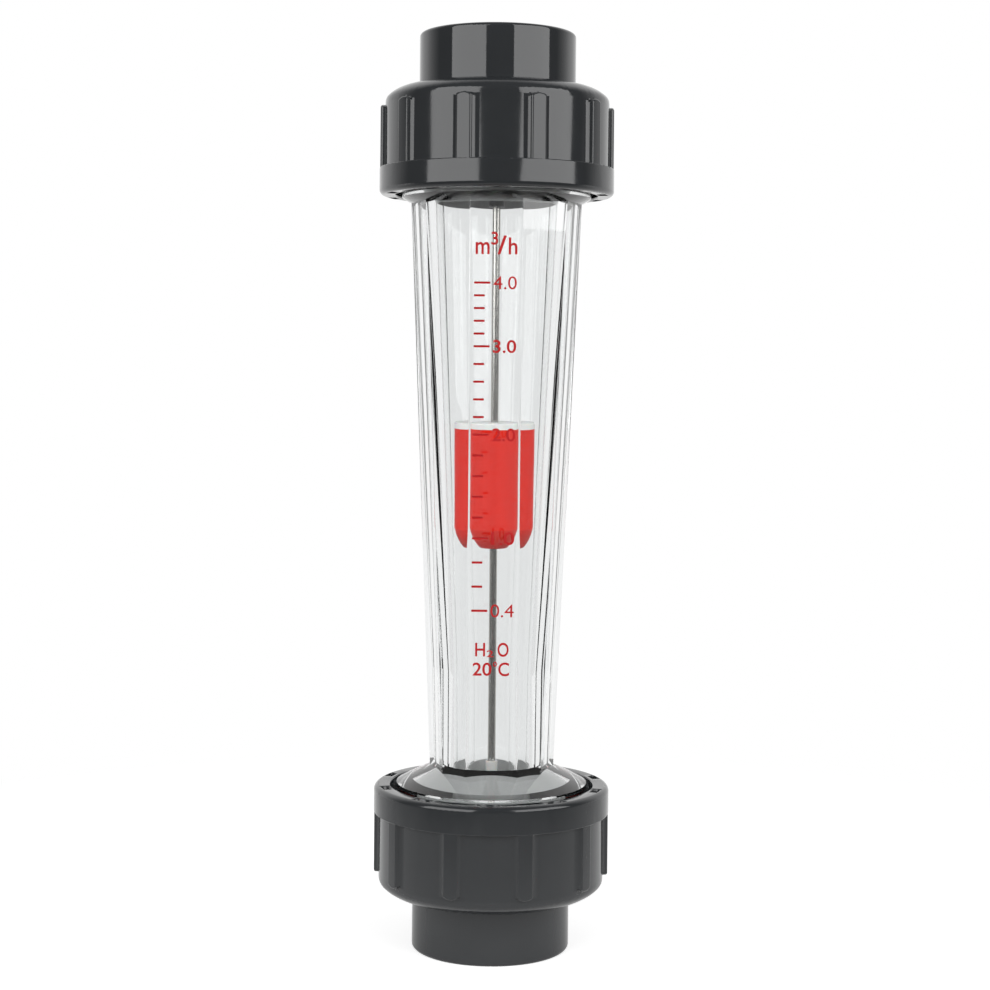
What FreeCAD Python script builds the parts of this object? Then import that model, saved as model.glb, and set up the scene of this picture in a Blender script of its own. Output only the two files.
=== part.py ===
import FreeCAD, Part

import math
import os

# Plastic-tube rotameter with a guided float and a solvent-weld union at each end.
# Millimetres, +Z up along the flow, origin at the centre of the lower pipe end.
# The flat that carries the scale faces -Y. Angles are counted from that side,
# positive towards +X. Both ends are alike, so each end piece is made at the lower
# end and mirrored about MID_Z for the upper one.

# ---- driving sizes -------------------------------------------------------------
TOTAL_LENGTH = 303.0
NUT_FACE_Z = 14.9            # pipe end left bare between its face and the union nut

# clear tube: ten flats outside, tapered round bore inside
BORE_SEAT_RADIUS = 12.9
BORE_SEAT_LENGTH = 31.0      # straight part above the lower seam, before the taper
BORE_TOP_RADIUS = 23.6
TUBE_LOW_WALL = 7.7          # bore to the side corners, at the lower seam
TUBE_TOP_WALL = 4.8
TUBE_FLATS = 10
SCALE_FLAT_WIDTH = 16.9      # the front and back flats keep this width

LOWER_DOME_HEIGHT = 6.4      # dome rim to the seam with the flats
UPPER_DOME_HEIGHT = 1.5
DOME_RIM_RISE = 0.7          # rim above the nut's open face
DOME_LEDGE = 3.1             # rim outside the side corners of the flats, at the top
DOME_SKIRT = 5.0             # plain part of the skirt, rim to thread
DOME_HOLLOW = 0.4            # dome's profile below a straight cone
DOME_FOOT_MARGIN = 0.5       # dome foot outside the corners of the flats
THREAD_STEP = 1.6            # crest of the thread outside the rim
CAVITY_STEP = 1.4            # end cavity outside the bore's top
LOWER_CAVITY_DROP = 8.0      # cavity's shoulder below the lower seam
UPPER_CAVITY_RISE = 5.0

# pipe connector (solvent socket for 40 mm pipe)
SOCKET_RADIUS = 20.0
SOCKET_LEAD = 1.0            # lead-in chamfer at the mouth
SOCKET_FLOOR = 4.0           # ledge that stops the pipe, along the axis
SOCKET_LEDGE = 4.0           # the same ledge, across
SOCKET_WALL = 6.0
CONNECTOR_EDGE = 1.2         # rounded outer edge of the pipe end
FLANGE_THICKNESS = 7.5
FLANGE_CLEARANCE = 0.6       # radial gap between flange and nut bore

# union nut
NUT_LENGTH = 39.0
NUT_WALL = 3.75
NUT_SHOULDER_RADIUS = 9.25   # quarter round at the closed end
NUT_END_WALL = 7.6
NUT_WAY_CLEARANCE = 0.4      # gap round the connector in the end wall
THREAD_CLEARANCE = 0.4
NUT_MOUTH_CHAMFER = 0.5
RIM_ROUND = 1.8              # rounded outer edge of the open end

RIB_COUNT = 10
RIB_HEIGHT = 1.6
RIB_CREST_WIDTH = 4.6
RIB_FOOT_WIDTH = 6.0
RIB_START = 9.0              # rounded end of a rib, above the closed face
RIB_CREST_ROUND = 0.7
RIB_TRIM = 1.0               # spare height of a rib before it is trimmed
BAND_HEIGHT = 9.1
BAND_STEP = 0.15             # the band stands this far above the rib crests
BAND_EDGE = 0.4              # rounded edge of the band towards the ribs
LOWER_NUT_ANGLE = 16.7       # first rib, degrees from the front
UPPER_NUT_ANGLE = 20.0

POCKET_WALL = 1.2            # between the thread and the blind moulding pockets
POCKET_SPAN = 2.6
POCKET_WIDTH = 5.0
POCKET_DEPTH = 5.5

# seals
O_RING_SECTION = 3.6
O_RING_GAP = 0.05
O_RING_SIDE_GAP = 0.3        # groove wall to seal

# guide bracket
BRACKET_STEP = 2.0           # seat outside the end cavity
BRACKET_CLEARANCE = 0.1
BRACKET_HEIGHT = 6.0
BRACKET_RING_WIDTH = 4.5
BRACKET_HUB_WALL = 2.95
BRACKET_HUB_LENGTH = 10.0
BRACKET_HUB_RISE = 4.0       # hub starts this far above the ring's outer face
BRACKET_ARMS = 4
BRACKET_ARM_WIDTH = 3.0
BRACKET_ARM_RELIEF = 0.8     # arms start this far outside the washer and below the hub's top
BRACKET_FIRST_ARM = 45.0

# guide rod and its fastenings
ROD_RADIUS = 2.0
ROD_FIT = 0.05               # radial gap in every hole that holds the rod
ROD_TAIL = 1.8               # rod past its nut
ROD_END_CHAMFER = 0.4
WASHER_WIDTH = 2.5
WASHER_THICKNESS = 0.8
HEX_SIDES = 6
HEX_NUT_WALL = 1.5           # rod to the middle of a flat
HEX_NUT_HEIGHT = 3.2
STOP_WALL = 1.45
STOP_EDGE = 0.5
LOWER_STOP_RISE = 1.3        # lower stop above the lower seam
UPPER_STOP_DROP = 1.9        # upper stop below the upper seam

# float, drawn where it reads 2 on the scale
FLOAT_CLEARANCE = 0.6        # radial gap in the bore's seat
FLOAT_LIFT = 70.2            # above the lower stop
FLOAT_LENGTH = 39.2          # nose to the reading edge
FLOAT_CONE_HEIGHT = 6.5
FLOAT_CONE_STEP = 5.2        # nose face inside the shell's side
FLOAT_SWELL = 0.5            # nose profile outside a straight cone
FLOAT_WALL = 1.6
FLOAT_FLOOR = 2.9            # shell's floor above the cone
FLOAT_CAP_THICKNESS = 2.0
FLOAT_CAP_EDGE = 0.3
CAP_SPIGOT_DEPTH = 3.0
CAP_SPIGOT_WIDTH = 1.8
LINER_WALL = 1.12
LINER_RUNNING_CLEARANCE = 0.08
LINER_FIT = 0.05
WEIGHT_HEIGHT = 14.0
WEIGHT_CLEARANCE = 0.2

# ---- places and sizes that follow ----------------------------------------------
# along the axis
MID_Z = TOTAL_LENGTH / 2
NUT_OPEN_Z = NUT_FACE_Z + NUT_LENGTH
FLANGE_Z = NUT_FACE_Z + NUT_END_WALL
TUBE_END_Z = FLANGE_Z + FLANGE_THICKNESS
SOCKET_DEPTH = TUBE_END_Z - SOCKET_FLOOR
DOME_RIM_Z = NUT_OPEN_Z + DOME_RIM_RISE
TUBE_SEAM_Z = DOME_RIM_Z + LOWER_DOME_HEIGHT
TUBE_TOP_SEAM_Z = TOTAL_LENGTH - DOME_RIM_Z - UPPER_DOME_HEIGHT
BRACKET_HUB_Z = TUBE_END_Z + BRACKET_HUB_RISE
BRACKET_HUB_TOP_Z = BRACKET_HUB_Z + BRACKET_HUB_LENGTH
HEX_NUT_Z = BRACKET_HUB_Z - WASHER_THICKNESS - HEX_NUT_HEIGHT
ROD_END_Z = HEX_NUT_Z - ROD_TAIL
LOWER_STOP_TOP_Z = TUBE_SEAM_Z + LOWER_STOP_RISE
UPPER_STOP_BOTTOM_Z = TUBE_TOP_SEAM_Z - UPPER_STOP_DROP
FLOAT_BOTTOM_Z = LOWER_STOP_TOP_Z + FLOAT_LIFT
FLOAT_CONE_TOP_Z = FLOAT_BOTTOM_Z + FLOAT_CONE_HEIGHT
FLOAT_FLOOR_Z = FLOAT_CONE_TOP_Z + FLOAT_FLOOR
FLOAT_EDGE_Z = FLOAT_BOTTOM_Z + FLOAT_LENGTH
FLOAT_CAP_TOP_Z = FLOAT_EDGE_Z + FLOAT_CAP_THICKNESS

# across, from the bore outwards
TUBE_LOW_HALF_WIDTH = BORE_SEAT_RADIUS + TUBE_LOW_WALL
TUBE_TOP_HALF_WIDTH = BORE_TOP_RADIUS + TUBE_TOP_WALL
SCALE_FLAT_HALF = SCALE_FLAT_WIDTH / 2
DOME_RIM_RADIUS = TUBE_TOP_HALF_WIDTH + DOME_LEDGE
THREAD_RADIUS = DOME_RIM_RADIUS + THREAD_STEP
NUT_BORE_RADIUS = THREAD_RADIUS + THREAD_CLEARANCE
NUT_BODY_RADIUS = NUT_BORE_RADIUS + NUT_WALL
RIB_RADIUS = NUT_BODY_RADIUS + RIB_HEIGHT
BAND_RADIUS = RIB_RADIUS + BAND_STEP
POCKET_INNER_RADIUS = NUT_BORE_RADIUS + POCKET_WALL
POCKET_OUTER_RADIUS = POCKET_INNER_RADIUS + POCKET_SPAN
CONNECTOR_RADIUS = SOCKET_RADIUS + SOCKET_WALL
THROAT_RADIUS = SOCKET_RADIUS - SOCKET_LEDGE
FLANGE_RADIUS = NUT_BORE_RADIUS - FLANGE_CLEARANCE
CAVITY_RADIUS = BORE_TOP_RADIUS + CAVITY_STEP
BRACKET_SEAT_RADIUS = CAVITY_RADIUS + BRACKET_STEP
O_RING_RADIUS = (BRACKET_SEAT_RADIUS + FLANGE_RADIUS) / 2

# across, from the rod outwards
ROD_HOLE_RADIUS = ROD_RADIUS + ROD_FIT
BRACKET_HUB_RADIUS = ROD_HOLE_RADIUS + BRACKET_HUB_WALL
WASHER_RADIUS = ROD_RADIUS + WASHER_WIDTH
HEX_NUT_CORNER = (ROD_RADIUS + HEX_NUT_WALL) / math.cos(math.pi / HEX_SIDES)
STOP_RADIUS = ROD_HOLE_RADIUS + STOP_WALL
LINER_HOLE_RADIUS = ROD_RADIUS + LINER_RUNNING_CLEARANCE
LINER_RADIUS = LINER_HOLE_RADIUS + LINER_WALL
FLOAT_HOLE_RADIUS = LINER_RADIUS + LINER_FIT
FLOAT_RADIUS = BORE_SEAT_RADIUS - FLOAT_CLEARANCE
FLOAT_NOSE_RADIUS = FLOAT_RADIUS - FLOAT_CONE_STEP
FLOAT_INSIDE_RADIUS = FLOAT_RADIUS - FLOAT_WALL

FULL_TURN = 360.0
FLAT_STEP = FULL_TURN / TUBE_FLATS
RIB_STEP = FULL_TURN / RIB_COUNT
UP = FreeCAD.Vector(0, 0, 1)
CENTRE = FreeCAD.Vector(0, 0, 0)


# ---- helpers -------------------------------------------------------------------
def turned(*outline):
    """Solid of revolution about Z. Each step is a (radius, z) corner, or a
    ((radius, z), (radius, z)) pair that reaches the second point by an arc
    through the first."""
    points = [step if not isinstance(step[0], tuple) else step[1] for step in outline]
    edges = []
    for index, step in enumerate(outline):
        start = FreeCAD.Vector(points[index - 1][0], 0, points[index - 1][1])
        end = FreeCAD.Vector(points[index][0], 0, points[index][1])
        if isinstance(step[0], tuple):
            middle = FreeCAD.Vector(step[0][0], 0, step[0][1])
            edges.append(Part.Arc(start, middle, end).toShape())
        else:
            edges.append(Part.makeLine(start, end))
    face = Part.Face(Part.Wire(edges))
    return face.revolve(CENTRE, UP, FULL_TURN)


def arc_point(centre_r, centre_z, radius, degrees):
    """Point on an arc, degrees above the outward radial direction."""
    angle = math.radians(degrees)
    return (centre_r + radius * math.cos(angle), centre_z + radius * math.sin(angle))


def ring(inner, outer, low, high):
    """Plain washer-shaped solid."""
    return turned((inner, low), (outer, low), (outer, high), (inner, high))


def turn(shape, degrees):
    """Copy turned about Z, positive from the front (-Y) towards +X."""
    copy = shape.copy()
    copy.rotate(CENTRE, UP, degrees)
    return copy


def upper_end(shape):
    """Copy mirrored to the other end."""
    return shape.mirror(FreeCAD.Vector(0, 0, MID_Z), UP)


def save(node, shape):
    """Write one node, refusing anything but sound solids."""
    if not shape.isValid() or not shape.Solids:
        raise ValueError(node + " is not a sound solid")
    shape.exportStep("parts/" + node + ".step")


# ---- unions --------------------------------------------------------------------
def connector():
    """Pipe end: stub with a solvent socket, throat and a flange that the nut holds."""
    edge = CONNECTOR_EDGE
    body = turned(
        (SOCKET_RADIUS + SOCKET_LEAD, 0),
        (CONNECTOR_RADIUS - edge, 0),
        (arc_point(CONNECTOR_RADIUS - edge, edge, edge, -45), (CONNECTOR_RADIUS, edge)),
        (CONNECTOR_RADIUS, FLANGE_Z),
        (FLANGE_RADIUS, FLANGE_Z),
        (FLANGE_RADIUS, TUBE_END_Z),
        (THROAT_RADIUS, TUBE_END_Z),
        (THROAT_RADIUS, SOCKET_DEPTH),
        (SOCKET_RADIUS, SOCKET_DEPTH),
        (SOCKET_RADIUS, SOCKET_LEAD),
    )
    half_width = O_RING_SECTION / 2 + O_RING_SIDE_GAP
    groove = ring(O_RING_RADIUS - half_width, O_RING_RADIUS + half_width,
                  TUBE_END_Z - O_RING_SECTION - O_RING_GAP, TUBE_END_Z)
    return body.cut(groove)


def o_ring():
    """Face seal, lying in the flange groove against the tube's end."""
    radius = O_RING_SECTION / 2
    seal = Part.makeTorus(O_RING_RADIUS, radius)
    seal.translate(FreeCAD.Vector(0, 0, TUBE_END_Z - radius - O_RING_GAP / 2))
    return seal


def nut_envelope(radius, shoulder):
    """Outer form of the nut at a given radius, closed end rounded, solid inside."""
    low = NUT_FACE_Z
    shoulder_r = NUT_BODY_RADIUS - NUT_SHOULDER_RADIUS
    arc_z = low + NUT_SHOULDER_RADIUS
    cut_angle = math.degrees(math.asin(NUT_SHOULDER_RADIUS / shoulder))
    foot = arc_point(shoulder_r, arc_z, shoulder, -cut_angle)
    middle = arc_point(shoulder_r, arc_z, shoulder, -cut_angle / 2)
    return turned((0, low), foot, (middle, (radius, arc_z)), (radius, NUT_OPEN_Z), (0, NUT_OPEN_Z))


def rib_blank():
    """One grip rib at the front: a tapered bar with a round end, not yet trimmed."""
    root = NUT_BODY_RADIUS - NUT_WALL / 2
    spread = (RIB_FOOT_WIDTH - RIB_CREST_WIDTH) / 2 / RIB_HEIGHT
    root_half = RIB_FOOT_WIDTH / 2 + spread * (NUT_BODY_RADIUS - root)
    outer = RIB_RADIUS + RIB_TRIM
    outer_half = RIB_CREST_WIDTH / 2 - spread * RIB_TRIM
    low = NUT_FACE_Z + RIB_START
    section = Part.makePolygon([
        FreeCAD.Vector(-root_half, -root, low), FreeCAD.Vector(-outer_half, -outer, low),
        FreeCAD.Vector(outer_half, -outer, low), FreeCAD.Vector(root_half, -root, low),
        FreeCAD.Vector(-root_half, -root, low)])
    bar = Part.Face(section).extrude(FreeCAD.Vector(0, 0, NUT_OPEN_Z - BAND_HEIGHT / 2 - low))
    # the end is half round, seen from outside
    centre = low + RIB_FOOT_WIDTH / 2
    arc = Part.Arc(FreeCAD.Vector(-root_half, -outer, centre), FreeCAD.Vector(0, -outer, low),
                   FreeCAD.Vector(root_half, -outer, centre)).toShape()
    top = NUT_OPEN_Z
    sides = Part.makePolygon([
        FreeCAD.Vector(root_half, -outer, centre), FreeCAD.Vector(root_half, -outer, top),
        FreeCAD.Vector(-root_half, -outer, top), FreeCAD.Vector(-root_half, -outer, centre)])
    outline = Part.Face(Part.Wire([arc] + sides.Edges))
    return bar.common(outline.extrude(FreeCAD.Vector(0, outer - root, 0)))


def union_nut(first_rib):
    """Ribbed union nut, made at the lower end with its open face upwards."""
    body = nut_envelope(NUT_BODY_RADIUS, NUT_SHOULDER_RADIUS)
    trim = nut_envelope(RIB_RADIUS, NUT_SHOULDER_RADIUS + RIB_HEIGHT)
    rib = rounded_crest(rib_blank().common(trim))
    ribs = [turn(rib, first_rib + index * RIB_STEP) for index in range(RIB_COUNT)]
    rim = BAND_RADIUS - RIM_ROUND
    edge = BAND_RADIUS - BAND_EDGE
    band_low = NUT_OPEN_Z - BAND_HEIGHT
    band = turned(
        (NUT_BORE_RADIUS, band_low),
        (edge, band_low),
        (arc_point(edge, band_low + BAND_EDGE, BAND_EDGE, -45), (BAND_RADIUS, band_low + BAND_EDGE)),
        (BAND_RADIUS, NUT_OPEN_Z - RIM_ROUND),
        (arc_point(rim, NUT_OPEN_Z - RIM_ROUND, RIM_ROUND, 45), (rim, NUT_OPEN_Z)),
        (NUT_BORE_RADIUS, NUT_OPEN_Z),
    )
    blank = body.fuse(ribs + [band])
    hollow = turned(
        (0, FLANGE_Z), (NUT_BORE_RADIUS, FLANGE_Z),
        (NUT_BORE_RADIUS, NUT_OPEN_Z - NUT_MOUTH_CHAMFER),
        (NUT_BORE_RADIUS + NUT_MOUTH_CHAMFER, NUT_OPEN_Z), (0, NUT_OPEN_Z))
    way = Part.makeCylinder(CONNECTOR_RADIUS + NUT_WAY_CLEARANCE, NUT_LENGTH,
                            FreeCAD.Vector(0, 0, NUT_FACE_Z))
    return blank.cut([hollow, way] + pockets(first_rib)).removeSplitter()


def rounded_crest(rib):
    """Round the two long crest edges and the end crest of one rib."""
    crest = [edge for edge in rib.Edges if on_crest(edge)]
    return rib.makeFillet(RIB_CREST_ROUND, crest)


def on_crest(edge):
    """True for an edge on the rib's outer skin that isn't at its cut end."""
    middle = edge.valueAt((edge.FirstParameter + edge.LastParameter) / 2)
    outside = math.hypot(middle.x, middle.y) > NUT_BODY_RADIUS + RIB_CREST_ROUND
    return outside and middle.z < NUT_OPEN_Z - BAND_HEIGHT / 2 - RIB_CREST_ROUND


def pockets(first_rib):
    """Blind moulding pockets in the open face, halfway between the ribs."""
    corner = FreeCAD.Vector(-POCKET_WIDTH / 2, -POCKET_OUTER_RADIUS, NUT_OPEN_Z - POCKET_DEPTH)
    pocket = Part.makeBox(POCKET_WIDTH, POCKET_SPAN, POCKET_DEPTH, corner)
    start = first_rib + RIB_STEP / 2
    return [turn(pocket, start + index * RIB_STEP) for index in range(RIB_COUNT)]


# ---- clear tube ----------------------------------------------------------------
def flats_outline(half_width, z):
    """Ten-sided outline. The front and back flats keep their width while the
    others follow the taper, so the four corner flats are the ones that narrow."""
    step = math.radians(FLAT_STEP)
    flat = half_width * math.cos(step / 2)
    # distance of the corner flat, which starts at the edge of the front one
    corner = SCALE_FLAT_HALF * math.sin(step) + flat * math.cos(step)
    # it meets the side flat, whose normal is two steps from the front
    near_x = (flat * math.cos(step) - corner * math.cos(2 * step)) / math.sin(step)
    near_y = (corner - near_x * math.sin(step)) / math.cos(step)
    quarter = [(SCALE_FLAT_HALF, -flat), (near_x, -near_y), (half_width, 0.0)]
    right = quarter + [(x, -y) for x, y in quarter[-2::-1]]
    left = [(-x, y) for x, y in reversed(right)]
    points = [FreeCAD.Vector(x, y, z) for x, y in right + left]
    return Part.makePolygon(points + points[:1])


def corner_radius(half_width):
    """Largest radius of the ten-sided outline, at the front flat or at the side."""
    flat = half_width * math.cos(math.radians(FLAT_STEP / 2))
    return max(half_width, math.hypot(SCALE_FLAT_HALF, flat))


def tube_end(seam_z, half_width):
    """Outer form of one end, turned: thread, plain skirt, rim, dome and its hollow
    round up to the seam. Made at the lower end and solid inside."""
    foot = corner_radius(half_width) + DOME_FOOT_MARGIN
    thread_top = DOME_RIM_Z - DOME_SKIRT
    middle = ((foot + DOME_RIM_RADIUS) / 2 - DOME_HOLLOW, (seam_z + DOME_RIM_Z) / 2 - DOME_HOLLOW)
    return turned(
        (0, TUBE_END_Z), (THREAD_RADIUS, TUBE_END_Z), (THREAD_RADIUS, thread_top),
        (DOME_RIM_RADIUS, thread_top + THREAD_STEP),
        (DOME_RIM_RADIUS, DOME_RIM_Z),
        (middle, (foot, seam_z)), (0, seam_z))


def waterway():
    """Hollow of the tube: bracket seats, end cavities, straight seat and taper."""
    top_end = TOTAL_LENGTH - TUBE_END_Z
    seat = BRACKET_HEIGHT + BRACKET_CLEARANCE
    low_shoulder = TUBE_SEAM_Z - LOWER_CAVITY_DROP
    top_shoulder = TUBE_TOP_SEAM_Z + UPPER_CAVITY_RISE
    return turned(
        (0, TUBE_END_Z), (BRACKET_SEAT_RADIUS, TUBE_END_Z),
        (BRACKET_SEAT_RADIUS, TUBE_END_Z + seat), (CAVITY_RADIUS, TUBE_END_Z + seat),
        (CAVITY_RADIUS, low_shoulder), (BORE_SEAT_RADIUS, TUBE_SEAM_Z),
        (BORE_SEAT_RADIUS, TUBE_SEAM_Z + BORE_SEAT_LENGTH), (BORE_TOP_RADIUS, TUBE_TOP_SEAM_Z),
        (CAVITY_RADIUS, top_shoulder), (CAVITY_RADIUS, top_end - seat),
        (BRACKET_SEAT_RADIUS, top_end - seat), (BRACKET_SEAT_RADIUS, top_end), (0, top_end))


def measuring_tube():
    """Clear moulded body, one piece from thread to thread."""
    low = flats_outline(TUBE_LOW_HALF_WIDTH, TUBE_SEAM_Z)
    high = flats_outline(TUBE_TOP_HALF_WIDTH, TUBE_TOP_SEAM_Z)
    flats = Part.makeLoft([low, high], True, True)
    low_end = tube_end(TUBE_SEAM_Z, TUBE_LOW_HALF_WIDTH)
    top_end = upper_end(tube_end(TOTAL_LENGTH - TUBE_TOP_SEAM_Z, TUBE_TOP_HALF_WIDTH))
    return flats.fuse([low_end, top_end]).cut(waterway())


# ---- guide ---------------------------------------------------------------------
def guide_bracket():
    """Spoked bracket that centres the rod: ring, hub and four arms."""
    outer = BRACKET_SEAT_RADIUS - BRACKET_CLEARANCE
    inner = outer - BRACKET_RING_WIDTH
    rim = ring(inner, outer, TUBE_END_Z, TUBE_END_Z + BRACKET_HEIGHT)
    hub = ring(0, BRACKET_HUB_RADIUS, BRACKET_HUB_Z, BRACKET_HUB_TOP_Z)
    reach = inner + BRACKET_RING_WIDTH / 2
    low = TUBE_END_Z + BRACKET_CLEARANCE
    high = TUBE_END_Z + BRACKET_HEIGHT
    # the arms clear the washer below and rise to the hub like a shallow cone
    side = [(0, BRACKET_HUB_Z), (WASHER_RADIUS + BRACKET_ARM_RELIEF, BRACKET_HUB_Z), (inner, low),
            (reach, low), (reach, high), (inner, high), (0, BRACKET_HUB_TOP_Z - BRACKET_ARM_RELIEF)]
    profile = Part.makePolygon([FreeCAD.Vector(0, -r, z) for r, z in side + side[:1]])
    arm = Part.Face(profile).extrude(FreeCAD.Vector(BRACKET_ARM_WIDTH, 0, 0))
    arm.translate(FreeCAD.Vector(-BRACKET_ARM_WIDTH / 2, 0, 0))
    arms = [turn(arm, BRACKET_FIRST_ARM + index * FULL_TURN / BRACKET_ARMS)
            for index in range(BRACKET_ARMS)]
    hole = Part.makeCylinder(ROD_HOLE_RADIUS, BRACKET_HUB_LENGTH,
                             FreeCAD.Vector(0, 0, BRACKET_HUB_Z))
    return rim.fuse([hub] + arms).cut(hole).removeSplitter()


def guide_rod():
    """Straight rod between the two brackets, chamfered at its ends."""
    low = ROD_END_Z
    high = TOTAL_LENGTH - ROD_END_Z
    cut = ROD_END_CHAMFER
    return turned((0, low), (ROD_RADIUS - cut, low), (ROD_RADIUS, low + cut),
                  (ROD_RADIUS, high - cut), (ROD_RADIUS - cut, high), (0, high))


def stop_sleeve(low, high):
    """Sleeve on the rod that ends the float's travel."""
    hole = ROD_HOLE_RADIUS
    cut = STOP_EDGE
    return turned((hole, low), (STOP_RADIUS - cut, low), (STOP_RADIUS, low + cut),
                  (STOP_RADIUS, high - cut), (STOP_RADIUS - cut, high), (hole, high))


def rod_washer():
    """Flat washer under the bracket's hub."""
    return ring(ROD_HOLE_RADIUS, WASHER_RADIUS, HEX_NUT_Z + HEX_NUT_HEIGHT, BRACKET_HUB_Z)


def rod_nut():
    """Hexagon nut that clamps the rod to the bracket."""
    corner = FreeCAD.Vector(HEX_NUT_CORNER, 0, HEX_NUT_Z)
    turns = [FreeCAD.Rotation(UP, side * FULL_TURN / HEX_SIDES) for side in range(HEX_SIDES)]
    points = [rotation.multVec(corner) for rotation in turns]
    prism = Part.Face(Part.makePolygon(points + points[:1])).extrude(UP * HEX_NUT_HEIGHT)
    hole = Part.makeCylinder(ROD_HOLE_RADIUS, HEX_NUT_HEIGHT, FreeCAD.Vector(0, 0, HEX_NUT_Z))
    return prism.cut(hole)


# ---- float ---------------------------------------------------------------------
def float_shell():
    """Red shell: straight metering edge above, tapered nose below, open on top."""
    swell = ((FLOAT_NOSE_RADIUS + FLOAT_RADIUS) / 2 + FLOAT_SWELL,
             (FLOAT_BOTTOM_Z + FLOAT_CONE_TOP_Z) / 2 - FLOAT_SWELL)
    return turned(
        (FLOAT_HOLE_RADIUS, FLOAT_BOTTOM_Z), (FLOAT_NOSE_RADIUS, FLOAT_BOTTOM_Z),
        (swell, (FLOAT_RADIUS, FLOAT_CONE_TOP_Z)), (FLOAT_RADIUS, FLOAT_EDGE_Z),
        (FLOAT_INSIDE_RADIUS, FLOAT_EDGE_Z), (FLOAT_INSIDE_RADIUS, FLOAT_FLOOR_Z),
        (FLOAT_HOLE_RADIUS, FLOAT_FLOOR_Z))


def float_cap():
    """White lid: thin disc with a spigot that enters the shell."""
    hole = FLOAT_HOLE_RADIUS
    outer = FLOAT_RADIUS - FLOAT_CAP_EDGE
    spigot = FLOAT_INSIDE_RADIUS - LINER_FIT
    low = FLOAT_EDGE_Z - CAP_SPIGOT_DEPTH
    return turned(
        (hole, FLOAT_EDGE_Z), (spigot - CAP_SPIGOT_WIDTH, FLOAT_EDGE_Z),
        (spigot - CAP_SPIGOT_WIDTH, low), (spigot, low), (spigot, FLOAT_EDGE_Z),
        (FLOAT_RADIUS, FLOAT_EDGE_Z), (FLOAT_RADIUS, FLOAT_CAP_TOP_Z - FLOAT_CAP_EDGE),
        (outer, FLOAT_CAP_TOP_Z), (hole, FLOAT_CAP_TOP_Z))


def float_weight():
    """Steel ring in the bottom of the shell."""
    return ring(LINER_RADIUS + WEIGHT_CLEARANCE, FLOAT_INSIDE_RADIUS - WEIGHT_CLEARANCE,
                FLOAT_FLOOR_Z, FLOAT_FLOOR_Z + WEIGHT_HEIGHT)


def float_liner():
    """Bearing sleeve through the float, running on the rod."""
    return ring(LINER_HOLE_RADIUS, LINER_RADIUS, FLOAT_BOTTOM_Z, FLOAT_CAP_TOP_Z)


def build():
    """Write every node."""
    os.makedirs("parts", exist_ok=True)
    save("measuring_tube", measuring_tube())
    save("lower_union_nut", union_nut(LOWER_NUT_ANGLE))
    save("upper_union_nut", upper_end(union_nut(UPPER_NUT_ANGLE)))
    pairs = {"connector": connector(), "o_ring": o_ring(), "guide_bracket": guide_bracket(),
             "rod_washer": rod_washer(), "rod_nut": rod_nut()}
    for name, shape in pairs.items():
        save("lower_" + name, shape)
        save("upper_" + name, upper_end(shape))
    save("guide_rod", guide_rod())
    save("lower_stop_sleeve", stop_sleeve(BRACKET_HUB_TOP_Z, LOWER_STOP_TOP_Z))
    save("upper_stop_sleeve", stop_sleeve(UPPER_STOP_BOTTOM_Z, TOTAL_LENGTH - BRACKET_HUB_TOP_Z))
    save("float_shell", float_shell())
    save("float_cap", float_cap())
    save("float_weight", float_weight())
    save("float_liner", float_liner())


build()
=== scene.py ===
import logging
import math
from dataclasses import dataclass
from enum import Enum

import bpy
from bpy.types import Material, Node, NodeSocket, NodeTree, Object
from mathutils import Matrix, Vector


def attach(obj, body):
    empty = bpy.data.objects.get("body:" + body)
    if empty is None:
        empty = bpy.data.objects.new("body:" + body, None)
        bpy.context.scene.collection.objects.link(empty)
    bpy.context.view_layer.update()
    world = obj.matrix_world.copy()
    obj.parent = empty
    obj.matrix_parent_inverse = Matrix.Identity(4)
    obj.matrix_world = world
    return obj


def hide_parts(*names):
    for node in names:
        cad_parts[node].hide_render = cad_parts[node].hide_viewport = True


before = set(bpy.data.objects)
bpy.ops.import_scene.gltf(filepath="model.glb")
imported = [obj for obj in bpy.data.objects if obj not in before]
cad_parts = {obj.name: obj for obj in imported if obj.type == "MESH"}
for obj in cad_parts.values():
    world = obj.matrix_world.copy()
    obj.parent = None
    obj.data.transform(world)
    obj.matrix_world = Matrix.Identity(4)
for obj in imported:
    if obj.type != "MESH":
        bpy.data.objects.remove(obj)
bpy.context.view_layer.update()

LOG = logging.getLogger("flow_meter")
MM = 0.001               # metres
MERGE = 1e-6             # metres: corners closer than this are one
TOTAL_LENGTH = 303.0     # millimetres, pipe end to pipe end
FINE_STEPS = 128         # round a large clear piece
SMALL_STEPS = 48         # round a hub or a sleeve
BEVEL_STEPS = 3          # across a small bevel
DARK_SIDE = 0.1          # what gloss sees in front of the meter
WALL_LEVEL = 0.85        # what rays mirrored in the clear wall see
# ray counts are whole numbers, so each limit lies half-way between two
NEVER = 0.5
MORE_THAN_ONCE = 1.5
UNDER_FOUR_TIMES = 3.5
WHITE = (1.0, 1.0, 1.0, 1.0)
Pair = tuple[float, float]       # a point, or a low and a high value
Triple = tuple[float, float, float]


class Body(Enum):
    """Bodies that new pieces ride on."""

    METER = "meter_body"
    LOWER_NUT = "lower_nut"
    UPPER_NUT = "upper_nut"


class Slot(Enum):
    """Material slot names of the record."""

    PRINT = "red_plastic"
    CLEAR = "clear_plastic"
    DARK = "dark_plastic"
    BRACKET = "bracket_plastic"
    WHITE = "white_plastic"
    STOP = "stop_plastic"


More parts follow.
